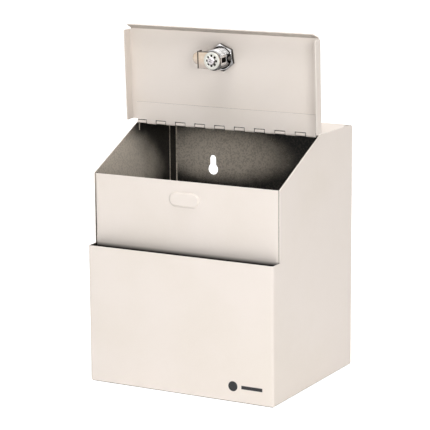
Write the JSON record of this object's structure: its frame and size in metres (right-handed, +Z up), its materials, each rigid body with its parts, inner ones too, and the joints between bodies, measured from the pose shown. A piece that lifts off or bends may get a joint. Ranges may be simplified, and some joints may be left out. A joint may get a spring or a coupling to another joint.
{
  "type": "lockable donation box",
  "caption": "Wall-hung folded-steel donation box with a card pocket in front, a slot in the flat top and a sloping hinged lid with a cam lock, shown open.",
  "frame": {"origin": "centre of the footprint at table height", "axes": "+Z up, +Y towards the back panel, -Y towards the card pocket, +X to the right seen from the front"},
  "size_m": [0.1976, 0.16, 0.3229],
  "materials": {
    "powder_coat": "smooth satin off-white powder coat",
    "steel": "plain drawn wire",
    "lock_chrome": "chromed die casting",
    "zinc_plate": "zinc-plated steel, slightly warm",
    "brass": "stamped brass"
  },
  "bodies": {
    "box": {"outer_shell": "powder_coat", "base_panel": "powder_coat", "front_panel": "powder_coat", "top_panel": "powder_coat", "back_panel": "powder_coat", "hinge_box_leaf": "powder_coat", "hinge_pin": "steel"},
    "lid": {"lid": "powder_coat", "hinge_lid_leaf": "powder_coat", "lock_housing": "lock_chrome", "lock_nut": "lock_chrome"},
    "lock_core": {"lock_plug": "lock_chrome", "lock_wafers": "brass", "wafer_springs": "steel", "stop_washer": "zinc_plate", "cam": "zinc_plate", "cam_washer": "zinc_plate", "cam_screw": "zinc_plate"}
  },
  "joints": [
    {"name": "lid_hinge", "type": "hinge", "parent": "box", "child": "lid", "pos_m": [0, 0.00885, 0.23005], "axis": [1, 0, 0], "range_deg": [-88, 112.66]},
    {"name": "lock_turn", "type": "hinge", "parent": "lid", "child": "lock_core", "pos_m": [0, 0.00616, 0.29569], "axis": [0, 0.9992, 0.041], "range_deg": [0, 90]}
  ]
}
